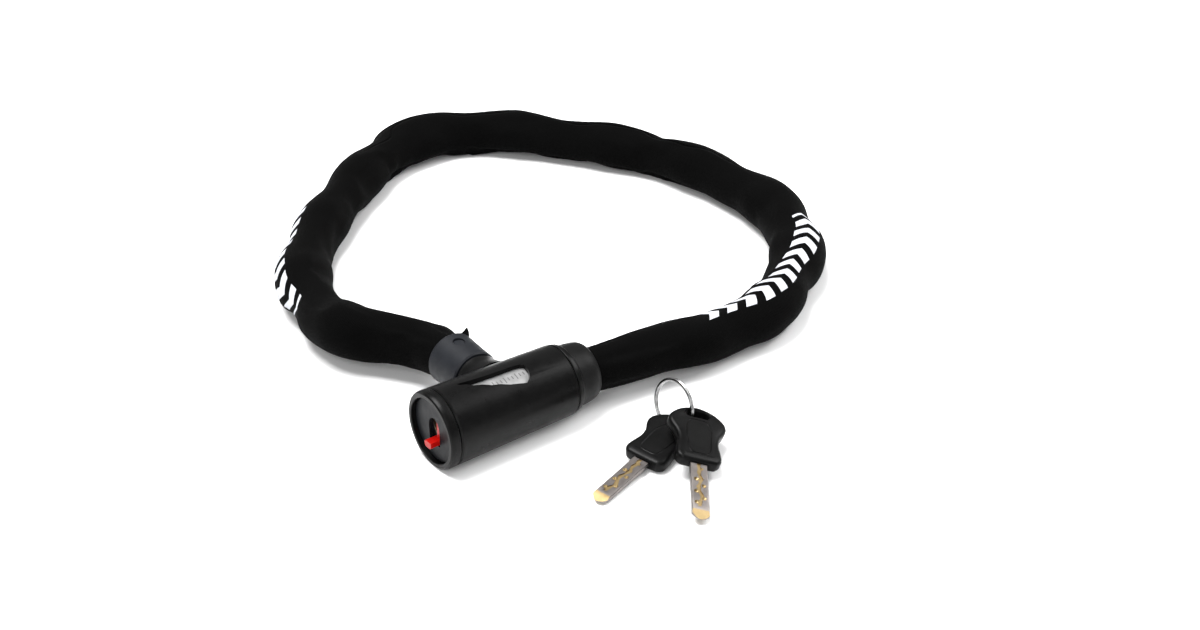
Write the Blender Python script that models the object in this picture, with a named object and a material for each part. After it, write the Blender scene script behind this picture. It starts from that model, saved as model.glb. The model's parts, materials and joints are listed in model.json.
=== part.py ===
"""Sleeved chain lock with a round lock body and two keys on a split ring, lying closed on a table.

Sizes are in millimetres and MM turns them into Blender's metres. Assembly coordinates: X runs along the
lock body's axis from its key face (x = 0) to its rear, Y points away from the key face's right-hand side
into the chain loop, Z is up, and the table is z = 0. The root empty then centres the footprint.
"""

import math

import bmesh
import bpy
from mathutils import Matrix, Vector

MM = 0.001

# Clearance between neighbouring pieces
GAP = 0.3

# Lock body
AXIS_Z = 19.9
BEZEL_RADIUS = 20.4
BEZEL_LENGTH = 5.8
SHELL_FRONT = 6.1
SHELL_REAR = 77.0
SHELL_FRONT_RADIUS = 20.3
SHELL_REAR_RADIUS = 19.0
SHELL_INNER_RADIUS = 17.3
BAND_REAR = 80.8
NECK_REAR = 94.0
NECK_BORE_RADIUS = 12.9
PLATE_FRONT = 2.6
PLATE_REAR = 5.2
PLATE_RADIUS = 16.8
CORE_FRONT = 7.2
CORE_REAR = 80.0
CORE_RADIUS = 16.2
ROUND = 56

# Lock cylinder
PLUG_RADIUS = 6.3
PLUG_FRONT = 6.7
PLUG_REAR = 32.0
TAIL_REAR = 33.6
CYLINDER_RADIUS = 8.4
CYLINDER_REAR = 31.6
TOWER_HEIGHT = 13.0
PIN_STATIONS = (13.0, 19.0, 25.0)
PIN_RADIUS = 1.25
CAM_FRONT = 34.0
CAM_REAR = 36.2
CAM_PIN_OFFSET = 2.6
CAM_RADIUS = 5.8
CLIP_THICK = 0.8
KEYWAY_WIDTH = 2.8
TAIL_RADIUS = 4.4

# Bolt, its socket and the chain's end collar
BOLT_X = 45.5
BOLT_RADIUS = 6.0
BOLT_TIP_Y = -9.5
BOLT_HEAD_Y = 32.8
GROOVE_Y = (-5.6, -2.4)
GROOVE_RADIUS = 3.4
LATCH_PLATE_Y = (-5.3, -2.7)
LATCH_BLADE_Z = (-8.9, -6.5)
LATCH_TRAVEL = 2.6
BOSS_RADIUS = 12.8
BOSS_FACE_Y = 26.5
COLLAR_Y = (28.5, 51.5)
CROSS_PIN_Y = 43.0
COLLAR_BORE_RADIUS = 12.6

# Chain
WIRE = 6.0
LINK_WIDTH = 21.0
LINK_PLAY = 0.45
LINK_COUNT = 27
ANCHOR_X = 74.0
CHAIN_Z = 11.9

# Fabric sleeve
SLEEVE_RADIUS = 14.7
SLEEVE_WALL = 0.7
SLEEVE_END_RADIUS = 11.8
SLEEVE_START_INSET = 4.5
SLEEVE_END_INSET = 3.3
SLEEVE_FLOOR_GAP = 0.15

# Keys and ring
BLADE_LENGTH = 38.0
BLADE_WIDTH = 8.6
BLADE_THICK = 2.4
TANG_LENGTH = 11.0
HEAD_THICK = 7.0
HEAD_BACK = 75.5
SLOT_U = 70.0
RING_RADIUS = 13.43
RING_WIRE = 1.0
RING_CENTRE = (113.74, -47.95, 15.01)
RING_NORMAL = (-0.9823, -0.0204, 0.1861)

# The chain's centre line from the anchor pin round the loop to the cross pin in the end collar
ROUTE = (
    (ANCHOR_X, 0.0, AXIS_Z),
    (94.0, 0.0, 19.4),
    (112.0, -0.8, 17.6),
    (132.0, -2.6, 14.4),
    (152.0, -5.0, 12.4),
    (173.0, -7.0, CHAIN_Z),
    (195.0, -5.5, CHAIN_Z),
    (219.0, 0.5, CHAIN_Z),
    (245.0, 13.0, CHAIN_Z),
    (269.0, 33.0, CHAIN_Z),
    (289.0, 58.0, CHAIN_Z),
    (301.0, 88.0, CHAIN_Z),
    (305.0, 120.0, CHAIN_Z),
    (303.0, 152.0, CHAIN_Z),
    (294.0, 185.0, CHAIN_Z),
    (280.0, 218.0, CHAIN_Z),
    (261.0, 248.0, CHAIN_Z),
    (238.0, 276.0, CHAIN_Z),
    (212.0, 296.0, CHAIN_Z),
    (184.0, 302.0, CHAIN_Z),
    (156.0, 295.0, CHAIN_Z),
    (126.0, 279.0, CHAIN_Z),
    (96.0, 256.0, CHAIN_Z),
    (67.0, 229.0, CHAIN_Z),
    (45.0, 203.0, CHAIN_Z),
    (30.0, 175.0, CHAIN_Z),
    (22.0, 147.0, 12.1),
    (22.5, 119.0, 13.2),
    (29.0, 98.0, 15.4),
    (38.5, 80.0, 18.2),
    (45.0, 61.0, 19.8),
    (BOLT_X, CROSS_PIN_Y, AXIS_Z),
)

AXIS = Vector((0.0, 0.0, AXIS_Z))
X_DIR = Vector((1.0, 0.0, 0.0))
Y_DIR = Vector((0.0, 1.0, 0.0))
Z_DIR = Vector((0.0, 0.0, 1.0))


# Scene helpers


def clear_scene():
    for obj in list(bpy.data.objects):
        bpy.data.objects.remove(obj)


def make_material(name, colour, roughness, metallic=0.0):
    material = bpy.data.materials.new(name)
    material.use_nodes = True
    shader = material.node_tree.nodes["Principled BSDF"]
    shader.inputs["Base Color"].default_value = (*colour, 1.0)
    shader.inputs["Roughness"].default_value = roughness
    shader.inputs["Metallic"].default_value = metallic
    return material


def make_object(bm, name, root, material=None, origin=(0.0, 0.0, 0.0), crease=35.0):
    """Turns a bmesh in assembly millimetres into an object whose origin lies at the given point."""
    bmesh.ops.recalc_face_normals(bm, faces=bm.faces)
    origin = Vector(origin)
    bmesh.ops.translate(bm, verts=bm.verts, vec=-origin)
    bmesh.ops.scale(bm, verts=bm.verts, vec=(MM, MM, MM))
    mesh = bpy.data.meshes.new(name)
    bm.to_mesh(mesh)
    bm.free()
    mesh.shade_smooth()
    mesh.set_sharp_from_angle(angle=math.radians(crease))
    obj = bpy.data.objects.new(name, mesh)
    obj.location = origin * MM
    obj.parent = root
    bpy.context.scene.collection.objects.link(obj)
    if material is not None:
        mesh.materials.append(material)
    return obj


def make_cutter(bm, name, root):
    cutter = make_object(bm, name, root)
    cutter.hide_render = True
    cutter.display_type = "WIRE"
    return cutter


def boolean(obj, other, operation="DIFFERENCE"):
    modifier = obj.modifiers.new(operation.title() + " " + other.name, "BOOLEAN")
    modifier.object = other
    modifier.operation = operation
    modifier.solver = "EXACT"


# Shape helpers


def turned(profile, origin=AXIS, direction=X_DIR, sides=ROUND):
    """Solid of revolution of (distance along the axis, radius), closed on itself or on the axis."""
    bm = bmesh.new()
    turn = direction.to_track_quat("Z", "Y").to_matrix().to_4x4()
    place = Matrix.Translation(origin) @ turn
    rings = []
    for along, radius in profile:
        if radius == 0.0:
            rings.append([bm.verts.new(place @ Vector((0.0, 0.0, along)))])
            continue
        ring = []
        for i in range(sides):
            angle = math.tau * i / sides
            point = Vector((radius * math.cos(angle), radius * math.sin(angle), along))
            ring.append(bm.verts.new(place @ point))
        rings.append(ring)
    open_ended = profile[0][1] == 0.0
    pairs = list(zip(rings, rings[1:]))
    if not open_ended:
        pairs.append((rings[-1], rings[0]))
    for first, second in pairs:
        for i in range(sides):
            j = (i + 1) % sides
            corners = [first[i % len(first)], first[j % len(first)]]
            corners += [second[j % len(second)], second[i % len(second)]]
            bm.faces.new(list(dict.fromkeys(corners)))
    return bm


def rod(start, end, radius, origin=AXIS, direction=X_DIR, sides=24):
    return turned([(start, 0.0), (start, radius), (end, radius), (end, 0.0)], origin, direction, sides)


def washer(start, end, inner, outer, origin=AXIS, direction=X_DIR, sides=32):
    profile = [(start, inner), (start, outer), (end, outer), (end, inner)]
    return turned(profile, origin, direction, sides)


def block(low, high):
    bm = bmesh.new()
    bmesh.ops.create_cube(bm, size=1.0)
    low, high = Vector(low), Vector(high)
    bmesh.ops.scale(bm, verts=bm.verts, vec=high - low)
    bmesh.ops.translate(bm, verts=bm.verts, vec=(low + high) / 2)
    return bm


def prism(outline, to_point, low, high):
    """Closed solid between two copies of an outline; to_point(a, b, depth) maps it into place."""
    bm = bmesh.new()
    bottom = [bm.verts.new(to_point(a, b, low)) for a, b in outline]
    top = [bm.verts.new(to_point(a, b, high)) for a, b in outline]
    count = len(outline)
    for i in range(count):
        j = (i + 1) % count
        bm.faces.new((bottom[i], bottom[j], top[j], top[i]))
    bm.faces.new(bottom)
    bm.faces.new(top)
    return bm


def circle(radius, sides, offset=0.0):
    angles = [math.tau * (i + offset) / sides for i in range(sides)]
    return [(radius * math.cos(a), radius * math.sin(a)) for a in angles]


def coil(centre, direction, radius, wire, turns, length, per_turn=10, sides=6):
    """Helical spring as one capped tube."""
    turn = direction.to_track_quat("Z", "Y").to_matrix()
    steps = int(turns * per_turn)
    bm = bmesh.new()
    rings = []
    for i in range(steps + 1):
        angle = math.tau * i / per_turn
        outward = Vector((math.cos(angle), math.sin(angle), 0.0))
        middle = outward * radius + Z_DIR * (wire + (length - 2 * wire) * i / steps)
        points = [middle + outward * a + Z_DIR * b for a, b in circle(wire, sides)]
        rings.append([bm.verts.new(Vector(centre) + turn @ p) for p in points])
    for first, second in zip(rings, rings[1:]):
        for i in range(sides):
            j = (i + 1) % sides
            bm.faces.new((first[i], first[j], second[j], second[i]))
    bm.faces.new(rings[0])
    bm.faces.new(rings[-1])
    return bm


# Lock body


def shell_radius(x):
    """The lock body's outer radius, which narrows evenly from the key face to the rear seam."""
    t = (x - SHELL_FRONT) / (SHELL_REAR - SHELL_FRONT)
    return SHELL_FRONT_RADIUS + (SHELL_REAR_RADIUS - SHELL_FRONT_RADIUS) * t


def flatten_underside(obj, root):
    """Planes the rest flat off a turned part at table height."""
    low = (-5.0, -30.0, -10.0)
    cutter = make_cutter(block(low, (100.0, 30.0, 0.0)), obj.name + "_flat_cutter", root)
    boolean(obj, cutter)


def front_bezel(root, plastic):
    profile = [
        (0.3, 17.2),
        (0.0, 17.6),
        (0.0, 19.2),
        (0.5, 19.9),
        (1.6, 20.3),
        (2.6, BEZEL_RADIUS),
        (5.0, BEZEL_RADIUS),
        (BEZEL_LENGTH, 19.7),
        (BEZEL_LENGTH, 17.2),
    ]
    bezel = make_object(turned(profile), "front_bezel", root, plastic)
    flatten_underside(bezel, root)


def keyhole_outline():
    """Pointed arch round the keyway, as (y, z) from the axis: straight sides, flat foot, ogive top."""
    half, foot, spring, apex = 4.6, -8.2, 1.2, 6.4
    right = []
    for degrees in (0, 25, 50, 72):
        t = math.radians(degrees)
        right.append((-half * math.cos(t), spring + (apex - spring) * math.sin(t)))
    left = [(-y, z) for y, z in reversed(right)]
    return [(half, foot), (-half, foot)] + right + [(0.0, apex)] + left


def face_plate(root, plastic):
    disc = rod(PLATE_FRONT, PLATE_REAR, PLATE_RADIUS, sides=ROUND)
    plate = make_object(disc, "face_plate", root, plastic)

    def to_face(y, z, x):
        return AXIS + Vector((x, y, z))

    window = prism(keyhole_outline(), to_face, PLATE_FRONT - 2.0, PLATE_REAR + 2.0)
    boolean(plate, make_cutter(window, "keyhole_cutter", root))


def window_outline():
    """Wedge-shaped label window as (x, degrees from the top towards the key hand's side)."""
    upper = [(17.0, -3.0), (27.0, 0.5), (37.0, 2.4), (49.5, 3.2)]
    rear = [(52.6, 5.0), (54.0, 9.5), (54.0, 22.0), (52.6, 32.0), (49.5, 39.0)]
    lower = [(41.0, 32.5), (32.0, 23.0), (24.0, 12.5), (18.0, 1.5)]
    return upper + rear + lower


def round_body(x, degrees, radius):
    angle = math.radians(degrees)
    return AXIS + Vector((x, -radius * math.sin(angle), radius * math.cos(angle)))


def housing_shell(root, plastic):
    outer = [(SHELL_FRONT, 19.6), (SHELL_FRONT + 0.8, shell_radius(SHELL_FRONT + 0.8))]
    outer += [(x, shell_radius(x)) for x in (24.0, 42.0, 60.0)]
    outer += [(SHELL_REAR - 0.7, shell_radius(SHELL_REAR - 0.7)), (SHELL_REAR, SHELL_REAR_RADIUS - 0.6)]
    profile = outer + [(SHELL_REAR, SHELL_INNER_RADIUS), (SHELL_FRONT, SHELL_INNER_RADIUS)]
    shell = make_object(turned(profile), "housing_shell", root, plastic)
    at_bolt = AXIS + X_DIR * BOLT_X
    saddle = [
        (14.0, 0.0),
        (14.0, BOSS_RADIUS + 2.2),
        (17.5, BOSS_RADIUS + 1.4),
        (20.5, BOSS_RADIUS + 0.4),
        (23.0, BOSS_RADIUS),
        (BOSS_FACE_Y - 0.6, BOSS_RADIUS),
        (BOSS_FACE_Y, BOSS_RADIUS - 0.6),
        (BOSS_FACE_Y, 0.0),
    ]
    boss = make_cutter(turned(saddle, at_bolt, Y_DIR, 40), "boss_block", root)
    boolean(shell, boss, "UNION")
    hollow = rod(SHELL_FRONT - 2.0, SHELL_REAR + 2.0, SHELL_INNER_RADIUS, sides=ROUND)
    boolean(shell, make_cutter(hollow, "shell_hollow_cutter", root))
    socket = rod(10.0, 30.0, 8.0, at_bolt, Y_DIR, 32)
    boolean(shell, make_cutter(socket, "shell_socket_cutter", root))
    window = prism(window_outline(), round_body, 14.0, 25.0)
    boolean(shell, make_cutter(window, "window_cutter", root))
    flatten_underside(shell, root)


def label_plate(root, silver):
    """Curved plate under the window, one closed patch of two radii."""
    degrees = range(-8, 49, 7)
    bm = bmesh.new()
    sheets = []
    for radius in (16.5, 17.0):
        rows = []
        for x in (14.5, 56.5):
            rows.append([bm.verts.new(round_body(x, d, radius)) for d in degrees])
        sheets.append(rows)
    inner, outer = sheets
    last = len(inner[0]) - 1
    for i in range(last):
        bm.faces.new((inner[0][i], inner[1][i], inner[1][i + 1], inner[0][i + 1]))
        bm.faces.new((outer[0][i], outer[0][i + 1], outer[1][i + 1], outer[1][i]))
        for end in (0, 1):
            bm.faces.new((inner[end][i], inner[end][i + 1], outer[end][i + 1], outer[end][i]))
    for edge in (0, last):
        bm.faces.new((inner[0][edge], inner[1][edge], outer[1][edge], outer[0][edge]))
    make_object(bm, "label_plate", root, silver)


def rear_band(root, plastic):
    front = SHELL_REAR + GAP
    profile = [
        (front, CORE_RADIUS + 0.4),
        (front, 18.3),
        (front + 0.5, 18.7),
        (BAND_REAR - 0.7, 18.3),
        (BAND_REAR, 17.6),
        (BAND_REAR, CORE_RADIUS + 0.4),
    ]
    make_object(turned(profile, sides=48), "rear_band", root, plastic)


def rear_neck(root, rubber):
    front = BAND_REAR + GAP
    profile = [
        (front, NECK_BORE_RADIUS),
        (front, 17.0),
        (front + 1.6, 16.6),
        (front + 5.0, 16.5),
        (front + 9.0, 16.0),
        (NECK_REAR - 1.6, 15.4),
        (NECK_REAR - 0.4, 14.6),
        (NECK_REAR, 13.8),
        (NECK_REAR, NECK_BORE_RADIUS),
    ]
    make_object(turned(profile, sides=48), "rear_neck", root, rubber)


def lock_core(root, zinc):
    """Cast core that carries the cylinder, bolt socket and latch, and anchors the chain in its fork."""
    core = make_object(rod(CORE_FRONT, CORE_REAR, CORE_RADIUS, sides=48), "lock_core", root, zinc)
    at_bolt = AXIS + X_DIR * BOLT_X
    latch_low = AXIS_Z + LATCH_BLADE_Z[0] - 1.0
    latch_high = AXIS_Z + LATCH_BLADE_Z[1] + LATCH_TRAVEL + 0.4
    tower_rear, tower_top = CYLINDER_REAR + GAP, AXIS_Z + TOWER_HEIGHT + 0.4
    fork_front = ANCHOR_X - 10.5
    cuts = {
        "cylinder_bore": rod(CORE_FRONT - 2.0, 37.0, 8.7),
        "tower_slot": block((CORE_FRONT - 2.0, -3.4, AXIS_Z + 2.0), (tower_rear, 3.4, tower_top)),
        "bolt_bore": rod(BOLT_TIP_Y - 1.5, 20.0, BOLT_RADIUS + GAP, at_bolt, Y_DIR, 32),
        "liner_bore": rod(6.0, 20.0, 8.0, at_bolt, Y_DIR, 32),
        "latch_space": block((38.0, -5.8, latch_low), (53.0, -2.2, latch_high)),
        "tab_space": block((35.6, -6.1, AXIS_Z - 10.3), (39.9, 6.1, AXIS_Z + 3.2)),
        "spring_bore": rod(-14.8, -9.0, 2.4, Vector((BOLT_X, -4.0, AXIS_Z)), Z_DIR, 20),
        "fork_slot": block((fork_front, -11.3, AXIS_Z - 3.5), (CORE_REAR + 2.0, 11.3, AXIS_Z + 3.5)),
        "anchor_bore": rod(-15.0, 20.0, 3.3, Vector((ANCHOR_X, 0.0, AXIS_Z)), Z_DIR, 24),
    }
    for name, shape in cuts.items():
        boolean(core, make_cutter(shape, name + "_cutter", root))


def anchor_pin(root, steel):
    origin = Vector((ANCHOR_X, 0.0, AXIS_Z))
    make_object(rod(-14.6, 15.4, WIRE / 2, origin, Z_DIR, 20), "anchor_pin", root, steel, origin)


def socket_liner(root, steel):
    at_bolt = AXIS + X_DIR * BOLT_X
    bore = BOLT_RADIUS + GAP
    make_object(washer(6.4, BOSS_FACE_Y - GAP, bore, 7.6, at_bolt, Y_DIR), "socket_liner", root, steel)


# Lock cylinder and latch


def cylinder_housing(root, brass):
    sleeve = washer(CORE_FRONT + 0.4, CYLINDER_REAR, PLUG_RADIUS + GAP, CYLINDER_RADIUS, sides=32)
    housing = make_object(sleeve, "cylinder_housing", root, brass)
    tower = block((CORE_FRONT + 0.4, -3.0, AXIS_Z + 7.6), (CYLINDER_REAR, 3.0, AXIS_Z + TOWER_HEIGHT))
    boolean(housing, make_cutter(tower, "tower_block", root), "UNION")
    for i, x in enumerate(PIN_STATIONS):
        chamber = rod(5.0, TOWER_HEIGHT - 0.8, PIN_RADIUS + GAP, Vector((x, 0.0, AXIS_Z)), Z_DIR, 14)
        boolean(housing, make_cutter(chamber, f"chamber_{i + 1}_cutter", root))


def key_plug(root, brass):
    profile = [
        (PLUG_FRONT, 0.0),
        (PLUG_FRONT, PLUG_RADIUS - 0.4),
        (PLUG_FRONT + 0.4, PLUG_RADIUS),
        (PLUG_REAR, PLUG_RADIUS),
        (PLUG_REAR, TAIL_RADIUS),
        (TAIL_REAR, TAIL_RADIUS),
        (TAIL_REAR, 0.0),
    ]
    plug = make_object(turned(profile, sides=32), "key_plug", root, brass, AXIS)
    half = KEYWAY_WIDTH / 2
    keyway = block((PLUG_FRONT - 1.0, -half, AXIS_Z - 4.7), (30.0, half, AXIS_Z + 4.3))
    boolean(plug, make_cutter(keyway, "keyway_cutter", root))
    for i, x in enumerate(PIN_STATIONS):
        hole = rod(2.0, 8.0, PIN_RADIUS + GAP, Vector((x, 0.0, AXIS_Z)), Z_DIR, 14)
        boolean(plug, make_cutter(hole, f"pin_hole_{i + 1}_cutter", root))


def lock_pins(root, brass, steel):
    """Key pins stand in the plug and driver pins above the shear line, as a key's cuts hold them."""
    for i, x in enumerate(PIN_STATIONS):
        at = Vector((x, 0.0, AXIS_Z))
        height = 2.3 + 0.5 * (i % 2)
        top = PLUG_RADIUS - GAP
        key_pin = [(height, 0.0), (height + 0.7, PIN_RADIUS), (top, PIN_RADIUS), (top, 0.0)]
        make_object(turned(key_pin, at, Z_DIR, 12), f"key_pin_{i + 1}", root, brass, AXIS)
        driver = rod(PLUG_RADIUS + GAP, TOWER_HEIGHT - 1.2, PIN_RADIUS, at, Z_DIR, 12)
        make_object(driver, f"driver_pin_{i + 1}", root, steel, at)


def plug_clip(root, steel):
    clip = washer(PLUG_REAR + GAP, PLUG_REAR + GAP + CLIP_THICK, TAIL_RADIUS + GAP, 7.2, sides=28)
    obj = make_object(clip, "plug_clip", root, steel, AXIS)
    gap = block((PLUG_REAR - 1.0, -2.2, AXIS_Z - 9.0), (PLUG_REAR + 3.0, 2.2, AXIS_Z))
    boolean(obj, make_cutter(gap, "clip_gap_cutter", root))


def plug_cam(root, steel):
    """Disc on the plug's tail with an eccentric pin that lifts the latch."""
    cam = make_object(rod(CAM_FRONT, CAM_REAR, CAM_RADIUS, sides=28), "plug_cam", root, steel, AXIS)
    pin = rod(CAM_FRONT + 0.5, 39.3, 1.1, AXIS - Z_DIR * CAM_PIN_OFFSET, X_DIR, 14)
    boolean(cam, make_cutter(pin, "cam_pin_block", root), "UNION")


def latch(root, steel):
    """Slotted tab behind the cam with a blade that rises into the bolt's groove."""
    origin = Vector((BOLT_X, -4.0, AXIS_Z + LATCH_BLADE_Z[1]))
    tab = block((36.7, -5.3, AXIS_Z + LATCH_BLADE_Z[0]), (39.2, 5.3, AXIS_Z + 0.2))
    obj = make_object(tab, "latch", root, steel, origin)
    y_low, y_high = LATCH_PLATE_Y
    blade = block((38.0, y_low, AXIS_Z + LATCH_BLADE_Z[0]), (52.0, y_high, AXIS_Z + LATCH_BLADE_Z[1]))
    boolean(obj, make_cutter(blade, "latch_blade_block", root), "UNION")
    slot = block((36.0, -4.1, AXIS_Z - 4.5), (40.0, 4.1, AXIS_Z - 0.7))
    boolean(obj, make_cutter(slot, "latch_slot_cutter", root))


def latch_spring(root, steel):
    seat = Vector((BOLT_X, -4.0, AXIS_Z - 14.4))
    make_object(coil(seat, Z_DIR, 1.6, 0.35, 4, 5.2), "latch_spring", root, steel, seat)


def keyhole_shutter(root, red):
    """Red dust shutter: a stem over one side of the keyhole, and a thumb tab that stands out."""

    def to_face(y, z, x):
        return AXIS + Vector((x, y, z))

    stem = [(-4.3, -4.6), (-1.2, -4.6), (-1.2, 4.2), (-2.4, 4.2), (-4.3, 2.6)]
    tab = [(-4.3, -6.8), (-3.2, -7.8), (0.6, -7.8), (1.4, -7.0), (1.4, -4.9), (0.6, -4.2), (-4.3, -4.2)]
    origin = AXIS + Vector((4.0, 0.0, -5.0))
    obj = make_object(prism(stem, to_face, 3.4, 4.8), "keyhole_shutter", root, red, origin)
    boolean(obj, make_cutter(prism(tab, to_face, -2.4, 4.7), "shutter_tab_block", root), "UNION")


# Chain and its end


def smooth_curve(points, steps=24):
    """Catmull-Rom curve through the points."""
    points = [Vector(p) for p in points]
    padded = [2 * points[0] - points[1]] + points + [2 * points[-1] - points[-2]]
    curve = []
    for a, b, c, d in zip(padded, padded[1:], padded[2:], padded[3:]):
        for i in range(steps):
            t = i / steps
            curve.append(0.5 * (2 * b + (c - a) * t + (2 * a - 5 * b + 4 * c - d) * t**2
                                + (3 * b - a - 3 * c + d) * t**3))
    return curve + [points[-1]]


def step_along(curve, start, index, distance):
    """The first point of the curve at this straight distance from start, or None past its end."""
    for i in range(index, len(curve) - 1):
        if (curve[i + 1] - start).length >= distance:
            low, high = curve[i], curve[i + 1]
            for _ in range(40):
                middle = (low + high) / 2
                if (middle - start).length < distance:
                    low = middle
                else:
                    high = middle
            return high, i
    return None, len(curve) - 1


def link_spacings(inner_length):
    """Pivot distances: a flat link turns on its neighbours' wires, an upright one on its own."""
    flat = inner_length - WIRE - 2 * LINK_PLAY
    upright = inner_length + WIRE
    return [upright if i % 2 else flat for i in range(LINK_COUNT)]


def pivots_along(curve, inner_length):
    pivots, index = [curve[0]], 0
    for distance in link_spacings(inner_length):
        point, index = step_along(curve, pivots[-1], index, distance)
        if point is None:
            return pivots
        pivots.append(point)
    return pivots


def fit_chain(curve):
    """Link length and pivots for which the chain just reaches the cross pin."""
    short, long = 20.0, 45.0
    for _ in range(50):
        middle = (short + long) / 2
        if len(pivots_along(curve, middle)) > LINK_COUNT:
            short = middle
        else:
            long = middle
    pivots = pivots_along(curve, short)
    pivots[-1] = curve[-1]
    return short, pivots


def link_ring(inner_length, centre, ahead, upright):
    """Welded link of round wire: two straights and two half-round bows."""
    bow = (LINK_WIDTH - WIRE) / 2
    bow_centre = (inner_length + WIRE) / 2 - bow
    side = Z_DIR.cross(ahead).normalized()
    up = ahead.cross(side)
    across, normal = (up, -side) if upright else (side, up)
    bm = bmesh.new()
    rings = []
    for end in (1, -1):
        for i in range(7):
            angle = math.radians(-90 + 30 * i)
            outward = (ahead * math.cos(angle) + across * math.sin(angle)) * end
            middle = centre + ahead * (bow_centre * end) + outward * bow
            section = circle(WIRE / 2, 8, 0.5)
            rings.append([bm.verts.new(middle + outward * a + normal * b) for a, b in section])
    for first, second in zip(rings, rings[1:] + rings[:1]):
        for i in range(8):
            j = (i + 1) % 8
            bm.faces.new((first[i], first[j], second[j], second[i]))
    return bm


def chain(root, steel, inner_length, pivots):
    for i, (start, end) in enumerate(zip(pivots, pivots[1:])):
        ring = link_ring(inner_length, (start + end) / 2, (end - start).normalized(), i % 2 == 1)
        make_object(ring, f"chain_link_{i + 1:02d}", root, steel, start)


def chain_end(root, steel, plastic, rubber):
    at_bolt = AXIS + X_DIR * BOLT_X
    pin_at = at_bolt + Y_DIR * CROSS_PIN_Y
    low, high = GROOVE_Y
    bolt = [
        (BOLT_TIP_Y, 0.0),
        (BOLT_TIP_Y, BOLT_RADIUS - 1.6),
        (BOLT_TIP_Y + 1.6, BOLT_RADIUS),
        (low, BOLT_RADIUS),
        (low, GROOVE_RADIUS),
        (high, GROOVE_RADIUS),
        (high, BOLT_RADIUS),
        (BOLT_HEAD_Y, BOLT_RADIUS),
        (BOLT_HEAD_Y, 0.0),
    ]
    make_object(turned(bolt, at_bolt, Y_DIR, 32), "bolt_pin", root, steel, pin_at)
    front, back = COLLAR_Y
    collar = [
        (front, BOLT_RADIUS + GAP),
        (front, 12.6),
        (front + 0.8, 13.3),
        (front + 9.0, 13.5),
        (front + 17.0, 13.9),
        (back - 0.8, 14.2),
        (back, 13.7),
        (back, COLLAR_BORE_RADIUS),
        (BOLT_HEAD_Y + 0.4, COLLAR_BORE_RADIUS),
        (BOLT_HEAD_Y + 0.4, BOLT_RADIUS + GAP),
    ]
    obj = make_object(turned(collar, at_bolt, Y_DIR, 40), "end_collar", root, plastic, pin_at)
    hole = rod(-16.0, 16.0, WIRE / 2 + GAP, pin_at, Z_DIR, 20)
    boolean(obj, make_cutter(hole, "cross_pin_cutter", root))
    make_object(rod(-12.9, 12.9, WIRE / 2, pin_at, Z_DIR, 20), "end_cross_pin", root, steel, pin_at)
    seal = washer(BOSS_FACE_Y + GAP, COLLAR_Y[0] - GAP, BOLT_RADIUS + 0.4, 11.8, at_bolt, Y_DIR, 40)
    make_object(seal, "seal_ring", root, rubber, pin_at)


def ease(t):
    t = min(max(t, 0.0), 1.0)
    return t * t * (3 - 2 * t)


def fabric_sleeve(root, fabric, curve):
    """Open tube of woven fabric round the chain, tucked into the neck and into the end collar."""
    while curve[0].x < NECK_REAR - SLEEVE_START_INSET:
        curve = curve[1:]
    while curve[-1].y < COLLAR_Y[1] - SLEEVE_END_INSET:
        curve = curve[:-1]
    length = sum((b - a).length for a, b in zip(curve, curve[1:]))
    stations = 52
    lines, travelled, index = [], 0.0, 0
    for i in range(stations + 1):
        target = length * i / stations
        step = curve[index + 1] - curve[index]
        while index < len(curve) - 2 and travelled + step.length < target:
            travelled += step.length
            index += 1
            step = curve[index + 1] - curve[index]
        lines.append(curve[index] + step * ((target - travelled) / step.length))
    centres, radii = [], []
    for i, point in enumerate(lines):
        along = length * i / stations
        free = ease(min(along - SLEEVE_START_INSET, length - along - SLEEVE_END_INSET) / 30.0)
        radius = SLEEVE_END_RADIUS + (SLEEVE_RADIUS - SLEEVE_END_RADIUS) * free
        resting = radius + SLEEVE_FLOOR_GAP
        droop = ease((AXIS_Z - point.z) / (AXIS_Z - CHAIN_Z))
        height = max(point.z + (resting - CHAIN_Z) * droop, resting)
        centres.append(Vector((point.x, point.y, height)))
        radii.append(radius)
    sides = 16
    bm = bmesh.new()
    layers = []
    for inset in (0.0, SLEEVE_WALL):
        rings = []
        for i, centre in enumerate(centres):
            before, after = centres[max(i - 1, 0)], centres[min(i + 1, stations)]
            ahead = (after - before).normalized()
            side = Z_DIR.cross(ahead).normalized()
            up = ahead.cross(side)
            points = circle(radii[i] - inset, sides, 0.5)
            rings.append([bm.verts.new(centre + side * a + up * b) for a, b in points])
        layers.append(rings)
    outer, inner = layers
    for rings in layers:
        for first, second in zip(rings, rings[1:]):
            for i in range(sides):
                j = (i + 1) % sides
                bm.faces.new((first[i], first[j], second[j], second[i]))
    for end in (0, stations):
        for i in range(sides):
            j = (i + 1) % sides
            bm.faces.new((outer[end][i], outer[end][j], inner[end][j], inner[end][i]))
    make_object(bm, "fabric_sleeve", root, fabric, (BOLT_X, 0.0, 0.0))


# Keys


def key_frame(tip, heading, tilt, roll):
    """Matrix whose U runs from the key's tip to its head, V to its left and W up."""
    turn = Matrix.Rotation(math.radians(heading), 4, "Z")
    lean = Matrix.Rotation(math.radians(-tilt), 4, "Y") @ Matrix.Rotation(math.radians(roll), 4, "X")
    return Matrix.Translation(tip) @ turn @ lean


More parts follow.
